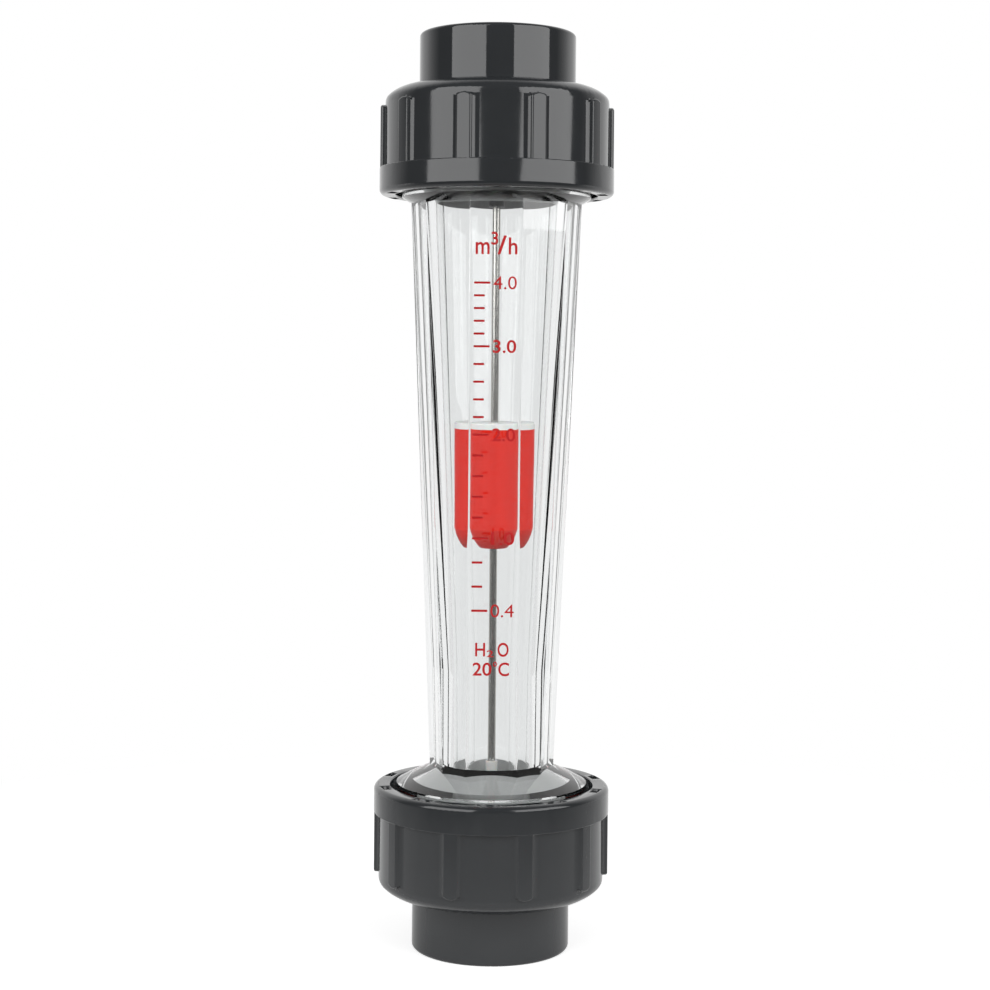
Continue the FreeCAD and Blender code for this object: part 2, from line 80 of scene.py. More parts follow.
# ---- materials ----
def linear(code: str) -> tuple[float, float, float, float]:
    """Turn an sRGB hex colour into linear light.

    Args:
        code: Colour such as "#AA1122".

    Returns:
        Linear red, green, blue and an alpha of 1.
    """
    parts = [int(code[index:index + 2], 16) / 255 for index in (1, 3, 5)]
    curve = [part / 12.92 if part <= 0.04045 else ((part + 0.055) / 1.055) ** 2.4
             for part in parts]
    return (*curve, 1.0)


def add_node(tree: NodeTree, kind: str, settings: dict | None = None,
             links: dict | None = None, **properties: object) -> Node:
    """Add one node with its socket values, links and properties.

    Args:
        tree: Node tree.
        kind: Node type name after ShaderNode.
        settings: Input name or number to its value.
        links: Input name or number to the output socket that feeds it.
        properties: Node properties to set.

    Returns:
        The new node.
    """
    node = tree.nodes.new("ShaderNode" + kind)
    for name, value in properties.items():
        setattr(node, name, value)
    for name, value in (settings or {}).items():
        node.inputs[name].default_value = value
    for name, source in (links or {}).items():
        tree.links.new(source, node.inputs[name])
    return node


def new_tree(name: str) -> tuple[Material, NodeTree, NodeSocket]:
    """Start an empty node material.

    Args:
        name: Material name.

    Returns:
        The material, its tree and an object-coordinate socket in metres.
    """
    material = bpy.data.materials.new(name)
    material.use_nodes = True
    tree = material.node_tree
    tree.nodes.clear()
    coordinates = add_node(tree, "TexCoord")
    return material, tree, coordinates.outputs["Object"]


def noise(tree: NodeTree, place: NodeSocket, size_mm: float, detail: float = 2.0) -> NodeSocket:
    """Add an even noise whose lumps have a real size.

    Args:
        tree: Node tree.
        place: Object coordinates in metres.
        size_mm: Size of a lump in millimetres.
        detail: Octaves of finer noise.

    Returns:
        The noise value, 0 to 1.
    """
    node = add_node(tree, "TexNoise", {"Scale": 1 / (size_mm * MM), "Detail": detail},
                    {"Vector": place})
    return node.outputs["Fac"]


def ranged(tree: NodeTree, value: NodeSocket, low: float, high: float,
           start: float = 0.3, stop: float = 0.7) -> NodeSocket:
    """Spread a noise value over a new range.

    Args:
        tree: Node tree.
        value: Socket to spread.
        low: Result at start.
        high: Result at stop.
        start: Source value that gives low.
        stop: Source value that gives high.

    Returns:
        The spread value.
    """
    node = add_node(tree, "MapRange", {"From Min": start, "From Max": stop,
                                                 "To Min": low, "To Max": high}, {"Value": value})
    return node.outputs["Result"]


def tinted(tree: NodeTree, share: NodeSocket, first: str, second: str) -> NodeSocket:
    """Mix two colours by a share.

    Args:
        tree: Node tree.
        share: Share of the second colour.
        first: Hex colour at 0.
        second: Hex colour at 1.

    Returns:
        The mixed colour.
    """
    ramp = add_node(tree, "ValToRGB", links={"Fac": share})
    ramp.color_ramp.elements[0].color = linear(first)
    ramp.color_ramp.elements[1].color = linear(second)
    return ramp.outputs["Color"]


def relief(tree: NodeTree, height: NodeSocket, depth_mm: float) -> NodeSocket:
    """Turn a height into a bumped normal.

    Args:
        tree: Node tree.
        height: Height value, 0 to 1.
        depth_mm: Real depth of the relief.

    Returns:
        The normal.
    """
    node = add_node(tree, "Bump", {"Strength": 1.0, "Distance": depth_mm * MM},
                    {"Height": height})
    return node.outputs["Normal"]


def finish_with(material: Material, tree: NodeTree, settings: dict, links: dict) -> None:
    """End a material with one Principled shader.

    Args:
        material: Material being built.
        tree: Its node tree.
        settings: Plain shader values.
        links: Shader sockets that nodes feed.
    """
    shader = add_node(tree, "BsdfPrincipled", settings, links)
    add_node(tree, "OutputMaterial", links={"Surface": shader.outputs["BSDF"]})
    material.diffuse_color = shader.inputs["Base Color"].default_value


def calculate(tree: NodeTree, operation: str, first: NodeSocket,
              second: NodeSocket | float) -> NodeSocket:
    """Join two values by a sum, product or comparison.

    Args:
        tree: Node tree.
        operation: Math operation.
        first: First value.
        second: Second value, a socket or a plain number.

    Returns:
        The result.
    """
    fixed, links = {1: second}, {0: first}
    if isinstance(second, NodeSocket):
        fixed, links = {}, {0: first, 1: second}
    return add_node(tree, "Math", fixed, links, operation=operation).outputs[0]


def sight_rays(tree: NodeTree, gloss: bool) -> NodeSocket:
    """Pick rays of sight: straight from the camera or through clear plastic, and off gloss
    if asked. Light that has met a matt surface on its way doesn't count.

    Args:
        tree: Node tree.
        gloss: True to count mirrored rays too.

    Returns:
        1 for those rays, else 0.
    """
    ray = add_node(tree, "LightPath")
    through = calculate(tree, "MAXIMUM", ray.outputs["Is Camera Ray"],
                        ray.outputs["Is Transmission Ray"])
    if gloss:
        sight = calculate(tree, "MAXIMUM", through, ray.outputs["Is Glossy Ray"])
    else:
        direct = calculate(tree, "LESS_THAN", ray.outputs["Glossy Depth"], NEVER)
        sight = calculate(tree, "MULTIPLY", through, direct)
    unscattered = calculate(tree, "LESS_THAN", ray.outputs["Diffuse Depth"], NEVER)
    return calculate(tree, "MULTIPLY", sight, unscattered)


def wall_rays(tree: NodeTree) -> NodeSocket:
    """Pick rays mirrored inside the clear wall that left it again: they passed its skin
    fewer than four times or were mirrored more than once. Light straight off the rod or
    the float was mirrored once and has passed the skin four times.

    Args:
        tree: Node tree.

    Returns:
        1 for those rays, else 0.
    """
    ray = add_node(tree, "LightPath")
    entered = calculate(tree, "GREATER_THAN", ray.outputs["Transmission Depth"], NEVER)
    near = calculate(tree, "LESS_THAN", ray.outputs["Transmission Depth"], UNDER_FOUR_TIMES)
    again = calculate(tree, "GREATER_THAN", ray.outputs["Glossy Depth"], MORE_THAN_ONCE)
    return calculate(tree, "MULTIPLY", entered, calculate(tree, "MAXIMUM", near, again))


@dataclass(frozen=True)
class ClearMoulding:
    """Clear polyamide, injection moulded against polished steel.

    It bends light strongly, is faintly grey through thick sections, and its flats have
    a slow ripple, so straight edges seen through it waver.
    """

    name: str = "clear_polyamide_moulded"
    tint: str = "#F5F6F6"
    ior: float = 1.55
    ripple_mm: float = 16.0
    ripple_stretch: Triple = (1.0, 1.0, 0.25)
    ripple_depth_mm: float = 0.006
    haze_mm: float = 9.0
    haze: Pair = (0.0, 0.025)
    depth_tint: str = "#EDF0F0"
    density: float = 3.2

    def build(self) -> Material:
        """Make the material.

        Returns:
            The material.
        """
        material, tree, place = new_tree(self.name)
        stretched = add_node(tree, "Mapping", {"Scale": self.ripple_stretch}, {"Vector": place})
        ripple = noise(tree, stretched.outputs["Vector"], self.ripple_mm, 1.0)
        haze = ranged(tree, noise(tree, place, self.haze_mm), *self.haze)
        shader = add_node(tree, "BsdfPrincipled", {
            "Base Color": linear(self.tint), "IOR": self.ior, "Transmission Weight": 1.0,
        }, {"Roughness": haze, "Normal": relief(tree, ripple, self.ripple_depth_mm)})
        # lamps reach what is inside, as they do through a thin clear wall
        ray = add_node(tree, "LightPath")
        through = add_node(tree, "BsdfTransparent", {"Color": linear(self.depth_tint)})
        surface = add_node(tree, "MixShader", links={
            "Fac": ray.outputs["Is Shadow Ray"], 1: shader.outputs["BSDF"],
            2: through.outputs["BSDF"]})
        depth = add_node(tree, "VolumeAbsorption", {"Color": linear(self.depth_tint),
                                                    "Density": self.density})
        add_node(tree, "OutputMaterial", links={"Surface": surface.outputs["Shader"],
                                                "Volume": depth.outputs["Volume"]})
        return material


@dataclass(frozen=True)
class Moulding:
    """Opaque moulded plastic: faint colour drift, fine orange peel and polish that varies."""

    name: str
    colour: str
    second: str
    roughness: Pair
    ior: float = 1.5
    grain_mm: float = 0.9
    grain_depth_mm: float = 0.004
    drift_mm: float = 14.0
    subsurface: float = 0.0
    scatter_mm: float = 2.0

    def build(self) -> Material:
        """Make the material.

        Returns:
            The material.
        """
        material, tree, place = new_tree(self.name)
        drift = noise(tree, place, self.drift_mm, 3.0)
        peel = noise(tree, place, self.grain_mm, 2.0)
        polish = ranged(tree, noise(tree, place, self.drift_mm / 2), *self.roughness)
        finish_with(material, tree, {
            "IOR": self.ior, "Subsurface Weight": self.subsurface,
            "Subsurface Scale": self.scatter_mm * MM,
        }, {"Base Color": tinted(tree, drift, self.colour, self.second), "Roughness": polish,
            "Normal": relief(tree, peel, self.grain_depth_mm)})
        return material


@dataclass(frozen=True)
class Steel:
    """Stainless steel, drawn or turned: fine lines along or round the piece."""

    name: str
    colour: str
    second: str
    roughness: Pair
    line_mm: float
    stretch: Triple
    line_depth_mm: float = 0.003
    drift_mm: float = 6.0

    def build(self) -> Material:
        """Make the material.

        Returns:
            The material.
        """
        material, tree, place = new_tree(self.name)
        drawn = add_node(tree, "Mapping", {"Scale": self.stretch}, {"Vector": place})
        lines = noise(tree, drawn.outputs["Vector"], self.line_mm, 3.0)
        finish_with(material, tree, {"Metallic": 1.0}, {
            "Base Color": tinted(tree, noise(tree, place, self.drift_mm), self.colour, self.second),
            "Roughness": ranged(tree, lines, *self.roughness),
            "Normal": relief(tree, lines, self.line_depth_mm)})
        return material


@dataclass(frozen=True)
class PaleFloor:
    """Seamless matt paper that runs out to white, and keeps the shadow."""

    name: str = "white_paper_floor"
    colour: str = "#F2F2F2"
    fibre_mm: float = 3.0
    fibre_depth_mm: float = 0.02
    lift: float = 0.62
    lit_radius: float = 0.1
    white_radius: float = 0.34
    gloss_front: float = -0.15
    gloss_back: float = 0.3

    def build(self) -> Material:
        """Make the material.

        Returns:
            The material.
        """
        material, tree, place = new_tree(self.name)
        fibre = noise(tree, place, self.fibre_mm)
        paper = add_node(tree, "BsdfDiffuse", {"Color": linear(self.colour)},
                         {"Normal": relief(tree, fibre, self.fibre_depth_mm)})
        # a glow that only rays of sight meet makes the lit paper white round the meter's
        # shadow and stands for the paper farther out; polished faces see the paper end in
        # front of the meter, where the dark side of the studio starts
        depth = add_node(tree, "SeparateXYZ", links={0: place}).outputs["Y"]
        mirrored = calculate(
            tree, "MAXIMUM",
            ranged(tree, depth, DARK_SIDE, 1.0, self.gloss_front, self.gloss_back),
            calculate(tree, "MULTIPLY", wall_rays(tree), WALL_LEVEL))
        eye = sight_rays(tree, gloss=False)
        gloss = calculate(tree, "MULTIPLY", sight_rays(tree, gloss=True), mirrored)
        sight = add_node(tree, "Mix", {3: 1.0}, {0: eye, 2: gloss}).outputs[0]
        glow = add_node(tree, "Emission", {"Color": WHITE},
                        {"Strength": calculate(tree, "MULTIPLY", sight, self.lift)})
        near = add_node(tree, "AddShader", links={0: paper.outputs["BSDF"],
                                                  1: glow.outputs["Emission"]})
        far = add_node(tree, "Emission", {"Color": WHITE}, {"Strength": sight})
        reach = add_node(tree, "VectorMath", links={0: place}, operation="LENGTH")
        share = ranged(tree, reach.outputs["Value"], 0.0, 1.0, self.lit_radius, self.white_radius)
        both = add_node(tree, "MixShader", links={"Fac": share, 1: near.outputs["Shader"],
                                                  2: far.outputs["Emission"]})
        add_node(tree, "OutputMaterial", links={"Surface": both.outputs["Shader"]})
        return material


# ---- mesh helpers ----
def start_piece(name: str) -> Object:
    """Name the primitive or text just added, which is the active object.

    Args:
        name: Piece name.

    Returns:
        The object.
    """
    piece = bpy.context.object
    piece.name = name
    piece.data.name = name
    return piece


def clear_selection() -> None:
    """Leave edit mode and deselect everything."""
    if bpy.context.object and bpy.context.object.mode != "OBJECT":
        set_mode("OBJECT")
    bpy.ops.object.select_all(action="DESELECT")


def set_mode(mode: str) -> None:
    """Switch the active object to a mode."""
    bpy.ops.object.mode_set(mode=mode)


def activate(piece: Object) -> None:
    """Select one piece alone and make it the active object."""
    clear_selection()
    piece.select_set(True)
    bpy.context.view_layer.objects.active = piece


def settle(piece: Object) -> None:
    """Move a piece's place into its mesh.

    Args:
        piece: Mesh object.
    """
    bpy.context.view_layer.update()
    piece.data.transform(piece.matrix_world)
    piece.matrix_world = Matrix.Identity(4)


def join(pieces: list[Object], name: str) -> Object:
    """Join mesh objects into one piece.

    Args:
        pieces: Objects to join.
        name: Name of the result.

    Returns:
        The joined piece.
    """
    activate(pieces[0])
    for piece in pieces:
        piece.select_set(True)
    if len(pieces) > 1:
        bpy.ops.object.join()
    return start_piece(name)


def arc(start: Pair, middle: Pair, end: Pair, steps: int = 8) -> list[Pair]:
    """Shallow arc through three points.

    Args:
        start: First point.
        middle: Pair halfway.
        end: Last point.
        steps: Straight pieces along it.

    Returns:
        The points of the arc, both ends included.
    """
    shares = [step / steps for step in range(steps + 1)]
    return [tuple((1 - t) * (1 - 2 * t) * a + 4 * t * (1 - t) * b + t * (2 * t - 1) * c
                  for a, b, c in zip(start, middle, end)) for t in shares]


def turned(name: str, profile: list[Pair], steps: int = 96, upside_down: bool = False) -> Object:
    """Turn a closed outline about the axis.

    Args:
        name: Piece name.
        profile: Radius and height of each corner, in millimetres.
        steps: Steps round the axis.
        upside_down: True for heights from the upper pipe end.

    Returns:
        The closed piece.
    """
    clear_selection()
    bpy.ops.mesh.primitive_circle_add(vertices=len(profile), radius=MM)
    piece = start_piece(name)
    for vertex, (radius, height) in zip(piece.data.vertices, profile):
        vertex.co = Vector((radius, 0, TOTAL_LENGTH - height if upside_down else height)) * MM
    set_mode("EDIT")
    bpy.ops.mesh.select_all(action="SELECT")
    bpy.ops.mesh.spin(steps=steps, angle=2 * math.pi, center=(0, 0, 0), axis=(0, 0, 1))
    close_up()
    return piece


def close_up() -> None:
    """Merge doubles, turn the faces outwards and leave edit mode."""
    bpy.ops.mesh.select_all(action="SELECT")
    bpy.ops.mesh.remove_doubles(threshold=MERGE)
    bpy.ops.mesh.normals_make_consistent(inside=False)
    set_mode("OBJECT")


def combine(piece: Object, tool: Object, operation: str) -> None:
    """Join another solid to a piece or cut it away.

    Args:
        piece: Piece that is kept.
        tool: The other solid, deleted afterwards.
        operation: "UNION" or "DIFFERENCE".
    """
    activate(piece)
    change = piece.modifiers.new("solid", "BOOLEAN")
    change.object = tool
    change.operation = operation
    bpy.ops.object.modifier_apply(modifier=change.name)
    bpy.data.objects.remove(tool)


def smooth(piece: Object, angle: float = 30.0) -> None:
    """Shade a piece smooth up to an angle, with its large faces kept flat.

    Args:
        piece: Piece to shade.
        angle: Sharpest edge that stays smooth, in degrees.
    """
    activate(piece)
    bpy.ops.object.shade_smooth_by_angle(angle=math.radians(angle))
    weigh = piece.modifiers.new("weigh", "WEIGHTED_NORMAL")
    weigh.keep_sharp = True
    bpy.ops.object.modifier_apply(modifier=weigh.name)


def dress(piece: Object, material: Material, body: Body) -> None:
    """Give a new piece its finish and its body.

    Args:
        piece: New piece.
        material: Its finish.
        body: Body it rides on.
    """
    piece.data.materials.clear()
    piece.data.materials.append(material)
    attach(piece, body.value)
    LOG.info("%s: %d faces on %s", piece.name, len(piece.data.polygons), body.value)


def coat(node: str, material: Material) -> None:
    """Put a finish on a CAD node.

    Args:
        node: Node name.
        material: Its finish.
    """
    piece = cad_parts[node]
    if not piece.material_slots:
        piece.data.materials.append(material)
    for place in piece.material_slots:
        place.material = material
    LOG.info("%s: finished in %s", node, material.name)


# ---- sub-assemblies ----
@dataclass
class Finishes:
    """One material for each finish on the meter."""

    clear: Material
    vinyl: Material
    nut_vinyl: Material
    float_red: Material
    lid_white: Material
    ink: Material
    rod: Material
    turned: Material
    seal: Material
    bracket: Material
    stop: Material
    sleeve: Material

    @classmethod
    def make(cls) -> "Finishes":
        """Build every finish.

        Returns:
            The finishes.
        """
        return cls(
            clear=ClearMoulding().build(),
            # grey unplasticised PVC, moulded glossy: crisp lamp reflections over near-black
            vinyl=Moulding("grey_vinyl_moulded", "#2B2D2F", "#303234", (0.035, 0.07), ior=1.54,
                           grain_depth_mm=0.003).build(),
            # the nuts are of the same stuff from a duller mould: softer lamp reflections
            nut_vinyl=Moulding("grey_vinyl_satin", "#2B2D2F", "#303234", (0.09, 0.13), ior=1.54,
                               grain_depth_mm=0.003).build(),
            # red ABS shell, moulded satin: no mirror image, and only a faint wide sheen
            # gets out through the clear wall, so its index is set low
            float_red=Moulding("red_abs_moulded", "#E21C04", "#E61F07", (0.4, 0.5), ior=1.2,
                               subsurface=0.05).build(),
            # white acetal lid, turned: milky, a little light gets in
            lid_white=Moulding("white_acetal_lid", "#F1F1EF", "#E9E9E6", (0.35, 0.5),
                               subsurface=0.15).build(),
            # red screen-printing ink: flat, slightly uneven in cover
            ink=Moulding("red_printing_ink", "#BC0A10", "#C40E14", (0.45, 0.6), grain_mm=0.3,
                         drift_mm=2.0).build(),
            # stainless rod, drawn and polished: bright with fine lines along it
            rod=Steel("stainless_drawn_rod", "#C9C7C3", "#B5B2AE", (0.12, 0.26), 0.5,
                      (1.0, 1.0, 0.03)).build(),
            # stainless nuts and washers, turned: lines run round the axis
            turned=Steel("stainless_turned", "#BDBBB7", "#A9A7A3", (0.22, 0.34), 0.4,
                         (0.15, 0.15, 1.0)).build(),
            # red silicone seal, moulded: dull, soft, slightly see-through at the skin
            seal=Moulding("red_silicone_seal", "#B3281A", "#A82216", (0.45, 0.6), ior=1.41,
                          subsurface=0.2).build(),
            # grey acetal bracket, moulded satin
            bracket=Moulding("grey_acetal_bracket", "#969696", "#A0A09F", (0.35, 0.5)).build(),
            # black nitrile stop: dull, close to black
            stop=Moulding("black_nitrile_stop", "#1C1D1F", "#222325", (0.5, 0.65)).build(),
            # natural nylon sleeve: milky and half clear
            sleeve=Moulding("natural_nylon_sleeve", "#B4B4B2", "#BEBEBC", (0.3, 0.45),
                            subsurface=0.4).build(),
        )


@dataclass
class Union:
    """The lower or upper end of the meter: ribbed nut, pipe connector and face seal.

    Sizes are in millimetres; heights are above the pipe end on its own side.

    Attributes:
        body_radius: Nut between its ribs.
        flange_z: Seat of the connector's flange in the nut.
        hole_limit: Radius that parts the nut's end hole from its end face.
        solid_face_z: Closed face of the solid nut, with a quarter round of solid_round.
        face_z: Closed face as moulded, with an oval round: width across, height along.
        ribs_z: Height from which the ribs stay as they are.
        margin: A point this far below the flange's seat is in the end wall.
        depth: Points this far inside the rounded end stay where they are.
    """

    end: str
    body: Body
    body_radius: float = 37.25
    flange_z: float = 22.5
    hole_limit: float = 27.5
    solid_face_z: float = 14.9
    solid_round: float = 9.25
    face_z: float = 18.1
    width: float = 8.2
    height: float = 4.9
    ribs_z: float = 20.9
    margin: float = 0.1
    depth: float = 1.0

    def solid_radius(self, height: float) -> float:
        """Radius of the solid nut's rounded end at a height."""
        drop = max(0.0, self.solid_face_z + self.solid_round - height)
        reach = math.sqrt(max(0.0, self.solid_round ** 2 - drop ** 2))
        return self.body_radius - self.solid_round + reach

    def flat_radius(self, height: float) -> float:
        """Find the flatter rounded end's radius: two arcs that meet at 45 degrees.

        Args:
            height: Height above the pipe end on its own side.

        Returns:
            The radius there.
        """
        spread = (self.width - self.height) / (math.sqrt(2) - 1)
        large = (self.width + self.height + spread) / 2
        small = (self.width + self.height - spread) / 2
        drop = max(0.0, self.face_z + self.height - height)
        if drop < small * math.sqrt(0.5):
            return self.body_radius - small + math.sqrt(small ** 2 - drop ** 2)
        drop = self.face_z + large - height
        return self.body_radius - self.width + math.sqrt(max(0.0, large ** 2 - drop ** 2))

    def reshaped(self, radius: float, height: float) -> Pair:
        """Move a point of the nut's closed end to the flatter form.

        Args:
            radius: Its radius in millimetres.
            height: Its height above the pipe end on its own side.

        Returns:
            The new radius and height.
        """
        if radius < self.hole_limit and height < self.flange_z - self.margin:
            share = (height - self.solid_face_z) / (self.flange_z - self.solid_face_z)
            return radius, self.face_z + share * (self.flange_z - self.face_z)
        if radius < self.solid_radius(height) - self.depth:
            return radius, height
        level = height
        if height < self.ribs_z:
            share = (height - self.solid_face_z) / (self.ribs_z - self.solid_face_z)
            level = self.face_z + share * (self.ribs_z - self.face_z)
        return radius - self.solid_radius(height) + self.flat_radius(level), level

    def nut(self, finishes: Finishes) -> None:
        """Make the nut: the solid's ribs and band with a flatter, shorter closed end.

        Args:
            finishes: All finishes.
        """
        node = self.end + "_union_nut"
        upper = self.body is Body.UPPER_NUT
        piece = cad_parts[node].copy()
        piece.data = piece.data.copy()
        bpy.context.scene.collection.objects.link(piece)
        activate(piece)
        start_piece(node + "_moulded")
        set_mode("EDIT")
        close_up()
        for vertex in piece.data.vertices:
            place = vertex.co / MM
            height = TOTAL_LENGTH - place.z if upper else place.z
            if height > self.solid_face_z + self.solid_round:
                continue
            radius, level = self.reshaped(place.xy.length, height)
            place.xy *= radius / place.xy.length
            place.z = TOTAL_LENGTH - level if upper else level
            vertex.co = place * MM
        smooth(piece)
        dress(piece, finishes.nut_vinyl, self.body)
        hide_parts(node)

    def build(self, finishes: Finishes) -> None:
        """Make this end's nut and finish its CAD nodes.

        Args:
            finishes: All finishes.
        """
        self.nut(finishes)
        coat(self.end + "_connector", finishes.vinyl)
        coat(self.end + "_o_ring", finishes.seal)


@dataclass
class Bracket:
    """Liner of the lower or upper cavity: a lip at the face seal and the rod's hub on arms.

    Sizes are in millimetres; heights are above the pipe end on its own side.

    Attributes:
        bore_end: Height at which the bore ends, with bore_radius there.
        cavity_drop: Cavity's shoulder below the end of the bore.
        stop_end: Height at which the stop sleeve on the rod ends.
        throat_length: Straight throat, throat_step inside the bore.
        seat: Height of the tube's end face.
        lip: Outer radius and height of the lip.
        hub: Radius of the rod hole and of the hub.
        hub_low: Foot of the hub, on the rod's washer.
        hub_drop: Hub's inner end below the end of the bore.
        arm: Width and height of an arm.
        arm_end: Arms end this far inside the bore's radius, in the throat's wall.
    """

    end: str
    bore_end: float
    bore_radius: float
    cavity_drop: float
    stop_end: float
    stop_wall: float
    gap: float = 0.3
    wall: float = 2.0
    throat_length: float = 8.0
    throat_step: float = 1.0
    seat: float = 30.0
    lip: Pair = (26.9, 6.0)
    cavity_radius: float = 25.0
    hub: Pair = (2.05, 3.85)
    hub_low: float = 34.0
    hub_drop: float = 3.5
    arm: Pair = (3.0, 4.5)
    arm_end: float = 0.6
    arm_bevel: float = 0.4
    arms: int = 4
    stop_bevel: float = 0.3

    def liner(self) -> Object:
        """Turn the liner.

        Returns:
            The liner.
        """
        outer = self.cavity_radius - self.gap
        throat = self.bore_radius - self.throat_step
        top = self.bore_end - self.gap
        shoulder = top - self.cavity_drop
        lip_radius, lip_height = self.lip
        return turned(self.end + "_bracket_liner", [
            (outer - self.wall, self.seat), (lip_radius, self.seat),
            (lip_radius, self.seat + lip_height), (outer, self.seat + lip_height),
            (outer, shoulder), (self.bore_radius - self.gap, top), (throat, top),
            (throat, top - self.throat_length),
            (outer - self.wall, shoulder - self.throat_length)], upside_down=self.end == "upper")

    def spokes(self) -> list[Object]:
        """Make the arms between hub and throat, the first at 45 degrees.

        Returns:
            The arms.
        """
        width, height = self.arm
        hole, hub = self.hub
        near, far = (hole + hub) / 2, self.bore_radius - self.arm_end
        middle = self.bore_end - self.hub_drop - height / 2
        level = TOTAL_LENGTH - middle if self.end == "upper" else middle
        spokes = []
        for index in range(self.arms):
            clear_selection()
            bpy.ops.mesh.primitive_cube_add(size=1)
            spoke = start_piece("spoke")
            spoke.scale = Vector((far - near, width, height)) * MM
            turn = Matrix.Rotation(2 * math.pi * (index + 0.5) / self.arms, 4, "Z")
            spoke.location = turn @ (Vector(((far + near) / 2, 0, level)) * MM)
            spoke.rotation_euler = turn.to_euler()
            settle(spoke)
            set_mode("EDIT")
            bpy.ops.mesh.select_all(action="SELECT")
            bpy.ops.mesh.bevel(offset=self.arm_bevel * MM, segments=BEVEL_STEPS)
            set_mode("OBJECT")
            spokes.append(spoke)
        return spokes

    def build(self, finishes: Finishes) -> None:
        """Make the bracket and the stop sleeve on the rod.

        Args:
            finishes: All finishes.
        """
        upper = self.end == "upper"
        hole, hub = self.hub
        hub_top = self.bore_end - self.hub_drop
        piece = self.liner()
        combine(piece, turned("hub", [(hole, self.hub_low), (hub, self.hub_low), (hub, hub_top),
                                      (hole, hub_top)], SMALL_STEPS, upper), "UNION")
        for spoke in self.spokes():
            combine(piece, spoke, "UNION")
        smooth(piece)
        dress(piece, finishes.bracket, Body.METER)
        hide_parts(self.end + "_guide_bracket")
        outer, cut = hole + self.stop_wall, self.stop_bevel
        stop = turned(self.end + "_stop", [
            (hole, hub_top), (outer, hub_top), (outer, self.stop_end - cut),
            (outer - cut, self.stop_end), (hole, self.stop_end)], SMALL_STEPS, upper)
        smooth(stop)
        dress(stop, finishes.stop if upper else finishes.sleeve, Body.METER)
        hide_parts(self.end + "_stop_sleeve")


@dataclass
class Guide:
    """Rod, brackets, stops and fastenings inside the tube."""

    def build(self, finishes: Finishes) -> None:
        """Make the brackets and finish the guide's CAD nodes.

        Args:
            finishes: All finishes.
        """
        coat("guide_rod", finishes.rod)
        for end in ("lower", "upper"):
            coat(end + "_rod_washer", finishes.turned)
            coat(end + "_rod_nut", finishes.turned)
        Bracket("lower", bore_end=61.0, bore_radius=12.9, cavity_drop=8.0, stop_end=62.3,
                stop_wall=0.95).build(finishes)
        Bracket("upper", bore_end=57.6, bore_radius=23.6, cavity_drop=6.0, stop_end=58.0,
                stop_wall=1.8).build(finishes)


@dataclass
class Float:
    """Red float with its white lid, steel ring and liner."""

    def build(self, finishes: Finishes) -> None:
        """Finish the float's CAD nodes.

        Args:
            finishes: All finishes.
        """
        coat("float_shell", finishes.float_red)
        coat("float_cap", finishes.lid_white)
        coat("float_weight", finishes.turned)
        coat("float_liner", finishes.lid_white)


